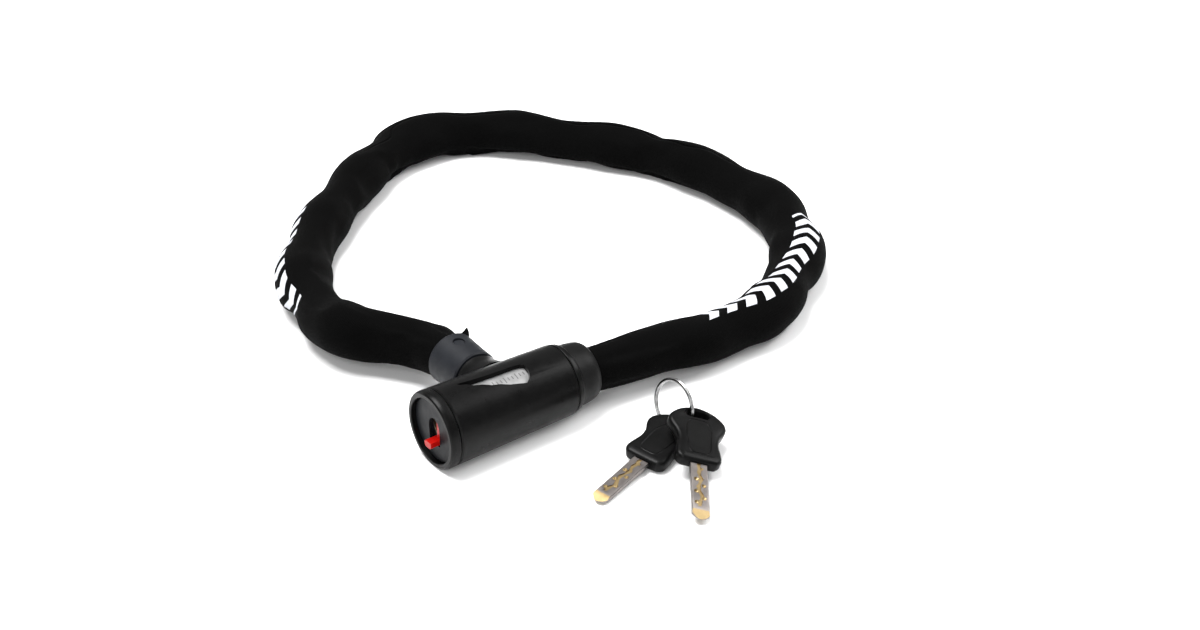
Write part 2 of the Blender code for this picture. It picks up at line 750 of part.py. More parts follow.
def head_outline():
    """Bow outline as (u, v): narrow at the blade, waisted, broad and rounded at the ring slot."""
    half = [
        (36.6, 7.6),
        (37.6, 10.2),
        (41.0, 11.6),
        (45.0, 11.4),
        (50.5, 10.6),
        (56.5, 11.6),
        (61.0, 14.2),
        (64.0, 14.9),
        (67.5, 14.0),
        (71.5, 10.6),
        (74.4, 5.6),
        (HEAD_BACK, 0.0),
    ]
    return half + [(u, -v) for u, v in reversed(half[:-1])]


def slot_outline(length=12.4, width=4.6):
    reach, radius = length / 2 - width / 2, width / 2
    ends = []
    for side in (1, -1):
        for degrees in (-90, -45, 0, 45, 90):
            angle = math.radians(degrees)
            u, v = -side * radius * math.sin(angle), side * (reach + radius * math.cos(angle))
            ends.append((SLOT_U + u, v))
    return ends


def key(root, label, plastic, steel, frame, pivot):
    def to_key(u, v, w):
        return frame @ Vector((u, v, w))

    head_prism = prism(head_outline(), to_key, -HEAD_THICK / 2, HEAD_THICK / 2)
    head = make_object(head_prism, f"key_{label}_head", root, plastic, pivot)
    slot = prism(slot_outline(), to_key, -HEAD_THICK, HEAD_THICK)
    boolean(head, make_cutter(slot, f"key_{label}_slot_cutter", root))
    tang_end = BLADE_LENGTH + TANG_LENGTH
    half = BLADE_WIDTH / 2
    wide, deep = half + GAP, tang_end + GAP
    pocket_outline = [(30.0, wide), (deep, wide), (deep, -wide), (30.0, -wide)]
    pocket = prism(pocket_outline, to_key, -BLADE_THICK / 2 - GAP, BLADE_THICK / 2 + GAP)
    boolean(head, make_cutter(pocket, f"key_{label}_pocket_cutter", root))
    tip = [(3.4, half), (0.8, 1.6), (0.0, 0.4), (0.0, -0.4), (0.9, -2.2), (2.6, -half)]
    blade_outline = [(tang_end, half)] + tip + [(tang_end, -half)]
    blade = prism(blade_outline, to_key, -BLADE_THICK / 2, BLADE_THICK / 2)
    make_object(blade, f"key_{label}_blade", root, steel, pivot, crease=20.0)


def key_ring(root, steel):
    """Split ring leaning against the key heads, drawn as one round wire."""
    normal = Vector(RING_NORMAL).normalized()
    along = normal.cross(Z_DIR).normalized()
    upward = along.cross(normal)
    centre = Vector(RING_CENTRE)
    bm = bmesh.new()
    rings = []
    count, sides = 40, 8
    for i in range(count):
        angle = math.tau * i / count
        outward = along * math.cos(angle) + upward * math.sin(angle)
        middle = centre + outward * RING_RADIUS
        section = circle(RING_WIRE, sides)
        rings.append([bm.verts.new(middle + outward * a + normal * b) for a, b in section])
    for first, second in zip(rings, rings[1:] + rings[:1]):
        for i in range(sides):
            j = (i + 1) % sides
            bm.faces.new((first[i], first[j], second[j], second[i]))
    make_object(bm, "key_ring", root, steel, centre)


KEY_A = key_frame(Vector((44.90, -74.56, 2.15)), 16.19, 3.34, 5.03)
KEY_B = key_frame(Vector((73.67, -117.13, 3.67)), 52.2, 8.29, 16.87)
KEY_A_PIVOT = KEY_A @ Vector((SLOT_U - 0.55, -2.65, 0.0))
KEY_B_PIVOT = KEY_B @ Vector((SLOT_U - 0.45, 2.5, 0.0))


def centre_on_footprint(root):
    """Moves the root so that the middle of the whole object's footprint is the origin."""
    bpy.context.view_layer.update()
    graph = bpy.context.evaluated_depsgraph_get()
    points = []
    for obj in root.children:
        if obj.type == "MESH" and not obj.hide_render:
            evaluated = obj.evaluated_get(graph)
            points += [evaluated.matrix_world @ v.co for v in evaluated.data.vertices]
    for axis in (0, 1):
        values = [p[axis] for p in points]
        root.location[axis] = -(min(values) + max(values)) / 2
    bpy.context.view_layer.update()


def main():
    clear_scene()
    root = bpy.data.objects.new("chain_lock", None)
    bpy.context.scene.collection.objects.link(root)
    black = make_material("black_plastic", (0.012, 0.012, 0.014), 0.45)
    soft_black = make_material("soft_black_rubber", (0.010, 0.010, 0.011), 0.6)
    woven = make_material("black_fabric", (0.006, 0.006, 0.007), 0.9)
    steel = make_material("hardened_steel", (0.45, 0.45, 0.46), 0.35, 1.0)
    nickel = make_material("nickel_steel", (0.62, 0.60, 0.57), 0.28, 1.0)
    brass = make_material("brass", (0.72, 0.53, 0.25), 0.35, 1.0)
    zinc = make_material("zinc_casting", (0.42, 0.42, 0.43), 0.5, 1.0)
    silver = make_material("silver_label", (0.70, 0.71, 0.72), 0.35, 0.6)
    red = make_material("red_plastic", (0.75, 0.02, 0.02), 0.35)

    front_bezel(root, black)
    face_plate(root, black)
    housing_shell(root, black)
    label_plate(root, silver)
    rear_band(root, black)
    rear_neck(root, soft_black)
    lock_core(root, zinc)
    anchor_pin(root, steel)
    socket_liner(root, steel)
    cylinder_housing(root, brass)
    key_plug(root, brass)
    lock_pins(root, brass, steel)
    plug_clip(root, steel)
    plug_cam(root, steel)
    latch(root, steel)
    latch_spring(root, steel)
    keyhole_shutter(root, red)

    curve = smooth_curve(ROUTE)
    inner_length, pivots = fit_chain(curve)
    chain(root, steel, inner_length, pivots)
    chain_end(root, steel, black, soft_black)
    fabric_sleeve(root, woven, curve)

    key(root, "a", black, nickel, KEY_A, KEY_A_PIVOT)
    key(root, "b", black, nickel, KEY_B, KEY_B_PIVOT)
    key_ring(root, nickel)
    centre_on_footprint(root)


main()
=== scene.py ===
"""Looks of the sleeved chain lock and its two keys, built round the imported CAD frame."""

import json
import math

import bmesh
import bpy
import numpy as np
from mathutils import Matrix, Vector, noise


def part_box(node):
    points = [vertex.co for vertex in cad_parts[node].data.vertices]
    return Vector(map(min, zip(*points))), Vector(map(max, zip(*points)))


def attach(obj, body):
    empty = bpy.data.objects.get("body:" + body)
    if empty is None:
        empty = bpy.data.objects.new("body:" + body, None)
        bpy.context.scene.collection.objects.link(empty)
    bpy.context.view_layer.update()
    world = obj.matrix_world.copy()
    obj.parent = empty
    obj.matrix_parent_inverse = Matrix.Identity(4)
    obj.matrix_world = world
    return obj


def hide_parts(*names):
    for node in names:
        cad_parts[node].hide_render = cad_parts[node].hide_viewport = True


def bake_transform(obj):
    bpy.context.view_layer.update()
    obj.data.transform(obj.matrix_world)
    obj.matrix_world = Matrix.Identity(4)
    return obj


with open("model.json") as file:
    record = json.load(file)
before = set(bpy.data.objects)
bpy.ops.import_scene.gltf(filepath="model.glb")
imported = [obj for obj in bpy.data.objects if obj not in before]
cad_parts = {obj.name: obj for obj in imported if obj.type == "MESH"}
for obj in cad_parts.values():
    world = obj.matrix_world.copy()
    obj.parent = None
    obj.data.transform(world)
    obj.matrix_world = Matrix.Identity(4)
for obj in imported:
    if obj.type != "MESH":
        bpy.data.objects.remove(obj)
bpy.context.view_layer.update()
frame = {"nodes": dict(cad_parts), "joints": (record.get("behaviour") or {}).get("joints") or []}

MM = 0.001
Z_DIR = Vector((0.0, 0.0, 1.0))

# Anchor pin, sleeve and collar places along the lock, in millimetres from the key face
ANCHOR_X = 74.0
AXIS_Z = 19.9
NECK_REAR = 94.0
BOLT_X = 45.5
COLLAR_REAR = 51.5
FLAP_ANGLE = 47.0
FLAP_HALF_ANGLE = 15.0
FLAP_ROOT = 12.6
FLAP_HEIGHT = 5.0

# Sleeve
SLEEVE_RADIUS = 14.7
SLEEVE_END_RADIUS = 11.9
SLEEVE_START_X = 89.0
SLEEVE_END_Y = 48.0
SLEEVE_SIDES = 40
SLEEVE_STEP = 2.6
SLACK = 0.02
MOST_SETTLING = 3.0
SETTLING_ALLOWANCE = 1.1
SETTLING_BREADTH = 0.6
MOUTH_EASE = 8.0
FLOOR_GAP = 0.25
LINK_HALF = 10.5
LINK_STRAIGHT = 12.2
WIRE_HALF = 3.0
LINK_CLEARANCE = 0.9
CHAIN_Z = 11.9

# How the fabric stands round the chain: it swells over a link that lies flat, draws in over one that
# stands, leans out of a bend and spreads there, and its slack gathers in a puff before the collar
FABRIC_HALF = 14.0
LINK_SWELL = 1.2
SWELL_RISE = 0.5
BEND_REACH = 45.0
BEND_LEAN = 14.0
BEND_SPREAD = 5.0
END_EASE = 30.0
PUFF_FROM_COLLAR = 50.0
PUFF_REACH = 40.0
PUFF_RISE = 3.0
PUFF_LEAN = 5.0

# Settling of the cloth, and where its pieces start to bend
PINNED_RINGS = 3
CLOTH_STEPS = 26
LAST_FRAME = 30
CLOTH_PRESSURE = 1.6
CLOTH_GRAVITY = 0.35
CLOTH_GAP = 0.0006

# Key
BLADE_LENGTH = 38.0
BLADE_WIDTH = 8.6
BLADE_THICK = 2.4
TANG_LENGTH = 11.0
HEAD_THICK = 7.0
HEAD_BACK = 75.5
SLOT_U = 70.0
SLOT_LENGTH = 12.4
SLOT_WIDTH = 4.6

# Where each key lies: (its tip, heading, tilt, roll) in millimetres and degrees
KEY_PLACES = {
    "a": ((44.90, -74.56, 2.15), 16.19, 3.34, 5.03),
    "b": ((73.67, -117.13, 3.67), 52.2, 8.29, 16.87),
}
RING_RADIUS = 13.43
RING_CENTRE = (113.74, -47.95, 15.01)
RING_NORMAL = (-0.9823, -0.0204, 0.1861)

pin_low, pin_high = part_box("anchor_pin")
ORIGIN = Vector(((pin_low.x + pin_high.x) / 2 - ANCHOR_X * MM, (pin_low.y + pin_high.y) / 2, 0.0))


def at(x, y, z):
    """Point in the row frame from millimetres measured from the lock's key face."""
    return ORIGIN + Vector((x, y, z)) * MM


# Materials


class Graph:
    """Small helper that adds and links shader nodes of one material."""

    def __init__(self, name, **shader):
        self.material = bpy.data.materials.new(name)
        self.material.use_nodes = True
        self.nodes = self.material.node_tree.nodes
        self.links = self.material.node_tree.links
        self.shader = next(n for n in self.nodes if n.type == "BSDF_PRINCIPLED")
        for key, value in shader.items():
            self.shader.inputs[key.replace("_", " ").title().replace("Ior", "IOR")].default_value = value

    def put(self, socket, value):
        if isinstance(value, bpy.types.NodeSocket):
            self.links.new(value, socket)
        elif value is not None:
            socket.default_value = value

    def math(self, operation, a, b=None, c=None, clamp=False):
        node = self.nodes.new("ShaderNodeMath")
        node.operation = operation
        node.use_clamp = clamp
        for socket, value in zip(node.inputs, (a, b, c)):
            self.put(socket, value)
        return node.outputs[0]

    def place(self, kind="Object"):
        if kind == "UV":
            node = self.nodes.new("ShaderNodeUVMap")
            node.uv_map = "cloth"
            return node.outputs[0]
        return self.nodes.new("ShaderNodeTexCoord").outputs[kind]

    def split(self, vector):
        node = self.nodes.new("ShaderNodeSeparateXYZ")
        self.put(node.inputs[0], vector)
        return node.outputs

    def noise(self, vector, scale, detail=3.0, rough=0.5):
        node = self.nodes.new("ShaderNodeTexNoise")
        self.put(node.inputs["Vector"], vector)
        node.inputs["Scale"].default_value = scale
        node.inputs["Detail"].default_value = detail
        node.inputs["Roughness"].default_value = rough
        return node.outputs[0]

    def ramp(self, value, low, high, start, end):
        node = self.nodes.new("ShaderNodeMapRange")
        for socket, number in zip(node.inputs, (value, low, high, start, end)):
            self.put(socket, number)
        return node.outputs[0]

    def mix(self, factor, a, b):
        node = self.nodes.new("ShaderNodeMix")
        node.data_type = "RGBA"
        self.put(node.inputs["Factor"], factor)
        colours = [s for s in node.inputs if s.type == "RGBA"]
        self.put(colours[0], a)
        self.put(colours[1], b)
        return next(s for s in node.outputs if s.type == "RGBA")

    def bump(self, height, distance, strength=1.0, before=None):
        node = self.nodes.new("ShaderNodeBump")
        node.inputs["Strength"].default_value = strength
        node.inputs["Distance"].default_value = distance
        self.put(node.inputs["Height"], height)
        if before is not None:
            self.put(node.inputs["Normal"], before)
        return node.outputs[0]

    def set(self, name, value):
        self.put(self.shader.inputs[name], value)
        return self


def grey(value, tint=(1.0, 1.0, 1.0)):
    return tuple(value * t for t in tint) + (1.0,)


def moulded(name, dark, light, rough, grain=2400.0, depth=0.00003, **shader):
    """Moulded plastic: fine grain, soft cloudy gloss and a few rubbed streaks."""
    g = Graph(name, **shader)
    where = g.place()
    cloud = g.noise(where, 60.0, 4.0, 0.6)
    g.set("Base Color", g.mix(g.ramp(cloud, 0.35, 0.7, 0.0, 1.0), dark, light))
    g.set("Roughness", g.ramp(g.noise(where, 190.0, 5.0, 0.65), 0.3, 0.75, rough - 0.06, rough + 0.1))
    fine = g.bump(g.noise(where, grain, 2.0, 0.5), depth, 0.5)
    g.set("Normal", g.bump(g.noise(where, 90.0, 2.0, 0.5), 0.00008, 0.25, fine))
    return g.material


def metal(name, colour, worn, rough, brush=(1.0, 1.0, 1.0), depth=0.00001, **shader):
    """Metal with fine brushed or cast grain and patchy tarnish."""
    g = Graph(name, metallic=1.0, **shader)
    mapping = g.nodes.new("ShaderNodeMapping")
    mapping.inputs["Scale"].default_value = brush
    g.put(mapping.inputs["Vector"], g.place())
    line = g.noise(mapping.outputs[0], 1500.0, 3.0, 0.6)
    patch = g.noise(g.place(), 140.0, 4.0, 0.6)
    g.set("Base Color", g.mix(g.ramp(patch, 0.4, 0.75, 0.0, 1.0), colour, worn))
    g.set("Roughness", g.ramp(line, 0.3, 0.7, rough - 0.07, rough + 0.1))
    g.set("Normal", g.bump(line, depth, 0.6))
    return g.material


def woven(name, dark, light, print_colour=None):
    """Dense woven polyester. UVs are millimetres round and along the sleeve."""
    g = Graph(name, sheen_weight=0.01, sheen_roughness=0.4, specular_ior_level=0.02)
    uv = g.split(g.place("UV"))
    pitch = 1.1
    warp = g.math("SINE", g.math("MULTIPLY", uv[0], math.tau / pitch))
    weft = g.math("SINE", g.math("MULTIPLY", uv[1], math.tau / pitch))
    cross = g.math("MULTIPLY", warp, weft)
    fuzz = g.noise(g.place(), 900.0, 3.0, 0.6)
    cloud = g.noise(g.place(), 45.0, 3.0, 0.5)
    seam_groove_and_shade = seam_line(g, uv)
    weave = g.math("ADD", cross, g.math("MULTIPLY", fuzz, 1.6))
    cloth = g.mix(g.ramp(g.math("ADD", weave, cloud), 0.4, 2.4, 0.0, 1.0), dark, light)
    # Painted shade: the cloth's colour is darkened along the seam's groove
    cloth = g.mix(seam_groove_and_shade, cloth, grey(0.0004))
    if print_colour:
        ink = printed_bars(g, uv)
        worn = g.math("MULTIPLY", ink, g.ramp(g.noise(g.place(), 700.0, 2.0, 0.6), 0.22, 0.34, 0.75, 1.0))
        cloth = g.mix(worn, cloth, print_colour)
    g.set("Base Color", cloth)
    g.set("Roughness", g.ramp(fuzz, 0.3, 0.7, 0.78, 0.95))
    ridge = g.bump(seam_groove_and_shade, -0.0012, 0.8)
    g.set("Normal", g.bump(weave, 0.00012, 0.55, ridge))
    return g.material


# Seam: where it shows along the sleeve, how softly it ends and how far it lies from the top, in millimetres
SEAM_FROM = 290.0
SEAM_TO = 600.0
SEAM_FADE = 30.0
SEAM_ASIDE = 1.0


def seam_line(g, uv):
    """Soft groove where the strip of cloth is sewn to a tube: it wanders along the top of the far run. The
    mask also darkens the cloth's colour in the groove as painted shade.
    """
    slow = g.math("MULTIPLY", g.math("SINE", g.math("MULTIPLY", uv[1], 0.085)), 2.2)
    quick = g.math("MULTIPLY", g.math("SINE", g.math("MULTIPLY", uv[1], 0.23)), 0.9)
    aside = g.math("SUBTRACT", uv[0], g.math("ADD", g.math("ADD", slow, quick), SEAM_ASIDE))
    groove = g.ramp(g.math("ABSOLUTE", aside), 0.3, 1.3, 1.0, 0.0)
    rise = g.ramp(uv[1], SEAM_FROM, SEAM_FROM + SEAM_FADE, 0.0, 1.0)
    fall = g.ramp(uv[1], SEAM_TO - SEAM_FADE, SEAM_TO, 1.0, 0.0)
    return g.math("MULTIPLY", groove, g.math("MULTIPLY", rise, fall))


# Plain chevron stripes, in millimetres: (from, to, middle round the sleeve at both ends, half height)
PRINTS = ((100.0, 240.0, -3.5, 7.0, 7.4), (676.0, 778.0, 16.5, 17.5, 7.4))
STRIPE_PITCH = 12.5
STRIPE_WIDE = 6.6
STRIPE_SLOPE = 0.75


def printed_bars(g, uv):
    """Mask of the stripes, each a flat chevron across the band that it fills."""
    total = None
    for start, end, low, high, half in PRINTS:
        middle = g.ramp(uv[1], start, end, low, high)
        across = g.math("ABSOLUTE", g.math("SUBTRACT", uv[0], middle))
        skewed = g.math("ADD", uv[1], g.math("MULTIPLY", across, STRIPE_SLOPE))
        mask = g.math("LESS_THAN", g.math("FLOORED_MODULO", skewed, STRIPE_PITCH), STRIPE_WIDE)
        mask = g.math("MULTIPLY", mask, g.math("LESS_THAN", across, half))
        mask = g.math("MULTIPLY", mask, g.math("GREATER_THAN", skewed, start))
        mask = g.math("MULTIPLY", mask, g.math("LESS_THAN", skewed, end))
        total = mask if total is None else g.math("ADD", total, mask, clamp=True)
    return total


COOL = (0.9, 1.0, 1.25)
BLACK = moulded("shell_black", grey(0.0015), grey(0.003), 0.32, specular_ior_level=0.10)
PLATE = moulded("plate_black", grey(0.004, COOL), grey(0.007, COOL), 0.42, specular_ior_level=0.10)
COLLAR = moulded("collar_black", grey(0.008, COOL), grey(0.012, COOL), 0.5, specular_ior_level=0.14)
RUBBER = moulded(
    "neck_rubber", grey(0.003), grey(0.005), 0.45, grain=1500.0, depth=0.00006, specular_ior_level=0.10
)
HEAD = moulded(
    "key_head_black", grey(0.0015), grey(0.003), 0.34, grain=1300.0, depth=0.00004, specular_ior_level=0.10
)
RED = moulded(
    "shutter_red", (0.30, 0.002, 0.001, 1.0), (0.38, 0.004, 0.002, 1.0), 0.3, specular_ior_level=0.2
)
SLEEVE = woven("sleeve_weave", grey(0.0006), grey(0.0022), (0.48, 0.49, 0.52, 1.0))
TAPE = woven("tab_weave", grey(0.002), grey(0.006))
STEEL = metal("link_steel", grey(0.48), grey(0.36), 0.36)
SPRING = metal("spring_steel", grey(0.55), grey(0.42), 0.28, (1.0, 1.0, 6.0))
BRASS = metal("cylinder_brass", (0.70, 0.50, 0.22, 1.0), (0.50, 0.34, 0.14, 1.0), 0.34)
CAST = metal("cast_zinc", grey(0.40), grey(0.30), 0.5, depth=0.00005)
NICKEL = metal("blade_nickel", (0.20, 0.18, 0.17, 1.0), (0.13, 0.12, 0.115, 1.0), 0.36, (1.0, 9.0, 1.0))
GOLD = metal("milled_brass", (0.27, 0.20, 0.10, 1.0), (0.18, 0.13, 0.06, 1.0), 0.42)
RING_STEEL = metal("ring_nickel", grey(0.42), grey(0.30), 0.2)


def label_material():
    """Silver label with plain upright ticks of two lengths."""
    g = Graph("silver_label", metallic=0.3)
    where = g.split(g.place())
    low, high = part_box("label_plate")
    origin = frame["nodes"]["label_plate"].matrix_world.translation
    middle = (low.y + high.y) / 2 - origin.y
    along = g.math("MULTIPLY", g.math("SUBTRACT", where[0], low.x - origin.x), 1000.0)
    across = g.math("ABSOLUTE", g.math("MULTIPLY", g.math("SUBTRACT", where[1], middle), 1000.0))
    tick = g.math("LESS_THAN", g.math("FLOORED_MODULO", along, 2.2), 0.6)
    long_tick = g.math("LESS_THAN", g.math("FLOORED_MODULO", along, 6.6), 2.2)
    tick = g.math("MULTIPLY", tick, g.math("LESS_THAN", across, g.ramp(long_tick, 0.0, 1.0, 1.0, 1.8)))
    scuff = g.noise(g.place(), 220.0, 3.0, 0.5)
    silver = g.mix(g.ramp(scuff, 0.35, 0.7, 0.0, 1.0), grey(0.19), grey(0.25))
    g.set("Base Color", g.mix(g.math("MULTIPLY", tick, 0.8), silver, grey(0.06)))
    g.set("Roughness", g.ramp(scuff, 0.3, 0.7, 0.3, 0.45))
    g.set("Normal", g.bump(scuff, 0.00002, 0.3))
    return g.material


# Mesh helpers


def finish_piece(bm, name, material, body, replaces=(), smooth=True):
    """Makes an object of a mesh, ties it to its body's empty if it has a body, and hides the nodes it
    replaces.
    """
    mesh = bpy.data.meshes.new(name)
    bmesh.ops.recalc_face_normals(bm, faces=bm.faces)
    bm.to_mesh(mesh)
    bm.free()
    obj = bpy.data.objects.new(name, mesh)
    bpy.context.scene.collection.objects.link(obj)
    for m in material if isinstance(material, (list, tuple)) else [material]:
        mesh.materials.append(m)
    if smooth:
        mesh.shade_smooth()
    if body:
        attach(obj, body)
    if replaces:
        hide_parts(*replaces)
    return obj


def bridge(bm, first, second):
    """Faces between two closed loops of the same number of points."""
    count = len(first)
    for i in range(count):
        j = (i + 1) % count
        bm.faces.new((first[i], first[j], second[j], second[i]))


def apply_modifiers(obj):
    """Turns what the modifiers show into the mesh itself."""
    graph = bpy.context.evaluated_depsgraph_get()
    evaluated = obj.evaluated_get(graph)
    mesh = bpy.data.meshes.new_from_object(evaluated, preserve_all_data_layers=True, depsgraph=graph)
    obj.modifiers.clear()
    obj.data = mesh
    return obj


# Sleeve


def chain_line():
    """Centre line of the sleeve: straight along each link and rounded at each hinge."""
    hinges = [j for j in frame["joints"] if j["name"].startswith("chain_hinge")]
    hinges.sort(key=lambda j: j["name"])
    points = [Vector(j["pos_m"]) for j in hinges]
    dense, marks = [], []
    for a, b in zip(points, points[1:]):
        steps = max(2, round((b - a).length / (0.5 * MM)))
        marks.append(len(dense))
        dense += [a.lerp(b, i / steps) for i in range(steps)]
    marks.append(len(dense))
    dense.append(points[-1])
    array = np.array([list(p) for p in dense])
    window = 15
    padded = np.vstack([np.repeat(array[:1], window, 0), array, np.repeat(array[-1:], window, 0)])
    kernel = np.hanning(2 * window + 3)[1:-1]
    kernel /= kernel.sum()
    smooth = np.stack([np.convolve(padded[:, k], kernel, "valid") for k in range(3)], 1)
    smooth[:window] = array[:window]
    smooth[-window:] = array[-window:]
    return smooth, marks


line, hinge_marks = chain_line()
line_length = np.concatenate([[0.0], np.cumsum(np.linalg.norm(np.diff(line, axis=0), axis=1))])
hinge_at = [line_length[m] for m in hinge_marks]


def on_line(distance):
    """Point of the centre line at a distance from the anchor pin."""
    return Vector([float(np.interp(distance, line_length, line[:, k])) for k in range(3)])


def direction_at(distance, reach=2.0 * MM):
    """Unit direction of the centre line, away from the lock."""
    return (on_line(distance + reach) - on_line(distance - reach)).normalized()


sleeve_start = float(line_length[np.argmax(line[:, 0] > at(SLEEVE_START_X, 0, 0).x)])
sleeve_end = float(line_length[len(line) - 1 - np.argmax(line[::-1, 1] > at(0, SLEEVE_END_Y, 0).y)])
neck_mouth = float(line_length[np.argmax(line[:, 0] > at(NECK_REAR, 0, 0).x)])
collar_mouth = float(line_length[len(line) - 1 - np.argmax(line[::-1, 1] > at(0, COLLAR_REAR, 0).y)])


def smoothstep(low, high, value):
    """0 below low, 1 above high and a soft step between."""
    t = min(max((value - low) / (high - low), 0.0), 1.0)
    return t * t * (3 - 2 * t)


def bend_at(distance):
    """Turn of the centre line to the left, in radians, over BEND_REACH behind and ahead of a place."""
    here = on_line(distance)
    behind = here - on_line(max(distance - BEND_REACH * MM, 0.0))
    ahead = on_line(min(distance + BEND_REACH * MM, hinge_at[-1])) - here
    return math.atan2(behind.x * ahead.y - behind.y * ahead.x, behind.x * ahead.x + behind.y * ahead.y)


def shape_at(distance):
    """Lean, half breadth and half height of the sleeve at a distance along the chain."""
    link = float(np.interp(distance, hinge_at, range(len(hinge_at))))
    swell = LINK_SWELL * math.cos(math.pi * (link - 0.5))
    bend = bend_at(distance)
    to_puff = (collar_mouth - distance) / MM - PUFF_FROM_COLLAR
    puff = 1.0 - smoothstep(0.0, PUFF_REACH, abs(to_puff))
    ends = smoothstep(0.0, END_EASE, min(distance - neck_mouth, collar_mouth - distance) / MM)
    wide = FABRIC_HALF + swell + BEND_SPREAD * abs(bend)
    tall = FABRIC_HALF + SWELL_RISE * swell + PUFF_RISE * puff
    lean = BEND_LEAN * bend + PUFF_LEAN * puff
    return lean * ends, *(SLEEVE_END_RADIUS + (half - SLEEVE_END_RADIUS) * ends for half in (wide, tall))


def build_sleeve():
    """The sleeve as one open tube that leans, swells and closes in as the fabric does round the links."""
    count = round((sleeve_end - sleeve_start) / (SLEEVE_STEP * MM))
    rings, coords = [], []
    for i in range(count + 1):
        s = sleeve_start + (sleeve_end - sleeve_start) * i / count
        centre, ahead = on_line(s), direction_at(s)
        side = Z_DIR.cross(ahead).normalized()
        up = ahead.cross(side)
        lean, wide, tall = shape_at(s)
        lean = math.copysign(min(abs(lean), wide - WIRE_HALF - LINK_CLEARANCE), lean)
        ease = smoothstep(0.0, MOUTH_EASE, min(s - neck_mouth, collar_mouth - s) / MM)
        wide += SETTLING_ALLOWANCE * SETTLING_BREADTH * ease
        tall += SETTLING_ALLOWANCE * ease
        droop = smoothstep(AXIS_Z * MM, (CHAIN_Z + 1.5) * MM, centre.z)
        resting = (tall + FLOOR_GAP) * MM
        height = centre.z + (resting - CHAIN_Z * MM) * droop
        middle = Vector((centre.x, centre.y, max(height, centre.z * 0.4 + resting * 0.6))) - side * lean * MM
        ring = []
        for k in range(SLEEVE_SIDES):
            angle = math.tau * k / SLEEVE_SIDES
            lump = noise.noise(centre * 38.0 + Vector((math.cos(angle), math.sin(angle), 2.0)) * 0.7)
            radius = 1.0 + 0.03 * lump * smoothstep(0.0, 2.5, tall - SLEEVE_END_RADIUS)
            p = middle + (side * math.cos(angle) * wide + up * math.sin(angle) * tall) * radius * MM
            p.z = max(p.z, FLOOR_GAP * MM)
            ring.append(p)
        rings.append(ring)
        coords.append(s)
    return rings, coords


def capsule_reach(x, z, span, wall):
    """How far a capsule of half length span and radius wall goes along each unit direction."""
    flat_side = wall / np.maximum(np.abs(z), 1e-6)
    tip = np.abs(x) * span + np.sqrt(np.maximum(wall**2 - (span * z) ** 2, 0.0))
    return np.where(flat_side * np.abs(x) <= span, flat_side, tip)


def clear_links(grid, coords):
    """Stretches the fabric over the links, so that each section lies outside the steel in it."""
    wall = WIRE_HALF + LINK_CLEARANCE
    for i, s in enumerate(coords):
        centre, ahead = np.array(on_line(s)), direction_at(s)
        side = np.array(Z_DIR.cross(ahead).normalized())
        up = np.array(ahead.cross(Vector(side)))
        for j in range(len(hinge_at) - 1):
            middle = (hinge_at[j] + hinge_at[j + 1]) / 2
            past = max(abs(s - middle) / MM - LINK_STRAIGHT, 0.0)
            if past >= LINK_HALF:
                continue
            span = max(math.sqrt(LINK_HALF**2 - past**2) - WIRE_HALF, 0.0)
            long_axis, short_axis = (side, up) if j % 2 == 0 else (up, side)
            offset = (grid[i] - centre) / MM
            x, z = offset @ long_axis, offset @ short_axis
            far = np.maximum(np.hypot(x, z), 0.05)
            reach = capsule_reach(x / far, z / far, span, wall)
            push = (np.maximum(reach / far, 1.0) - 1.0) * MM
            grid[i] += np.outer(x * push, long_axis) + np.outer(z * push, short_axis)
    grid[:, :, 2] = np.maximum(grid[:, :, 2], FLOOR_GAP * MM)


def relax(grid, rounds=2, share=0.5):
    """Evens the fabric along and round the tube, leaving both ends where they are."""
    for _ in range(rounds):
        around = (np.roll(grid, 1, 1) + np.roll(grid, -1, 1)) / 2
        along = grid.copy()
        along[1:-1] = (grid[:-2] + grid[2:]) / 2
        grid[1:-1] += ((around + along)[1:-1] / 2 - grid[1:-1]) * share


def sleeve_mesh(rings, name):
    """Open tube through rings of points."""
    points = [tuple(p) for ring in rings for p in ring]
    faces = []
    for i in range(len(rings) - 1):
        for k in range(SLEEVE_SIDES):
            n = (k + 1) % SLEEVE_SIDES
            a, b = i * SLEEVE_SIDES, (i + 1) * SLEEVE_SIDES
            faces.append((a + k, a + n, b + n, b + k))
    mesh = bpy.data.meshes.new(name)
    mesh.from_pydata(points, [], faces)
    mesh.update()
    obj = bpy.data.objects.new(name, mesh)
    bpy.context.scene.collection.objects.link(obj)
    return obj


def flat_square(name, reach):
    """Level square mesh at the height of the table."""
    mesh = bpy.data.meshes.new(name)
    corners = [(-reach, -reach, 0), (reach, -reach, 0), (reach, reach, 0), (-reach, reach, 0)]
    mesh.from_pydata(corners, [], [(0, 1, 2, 3)])
    return mesh


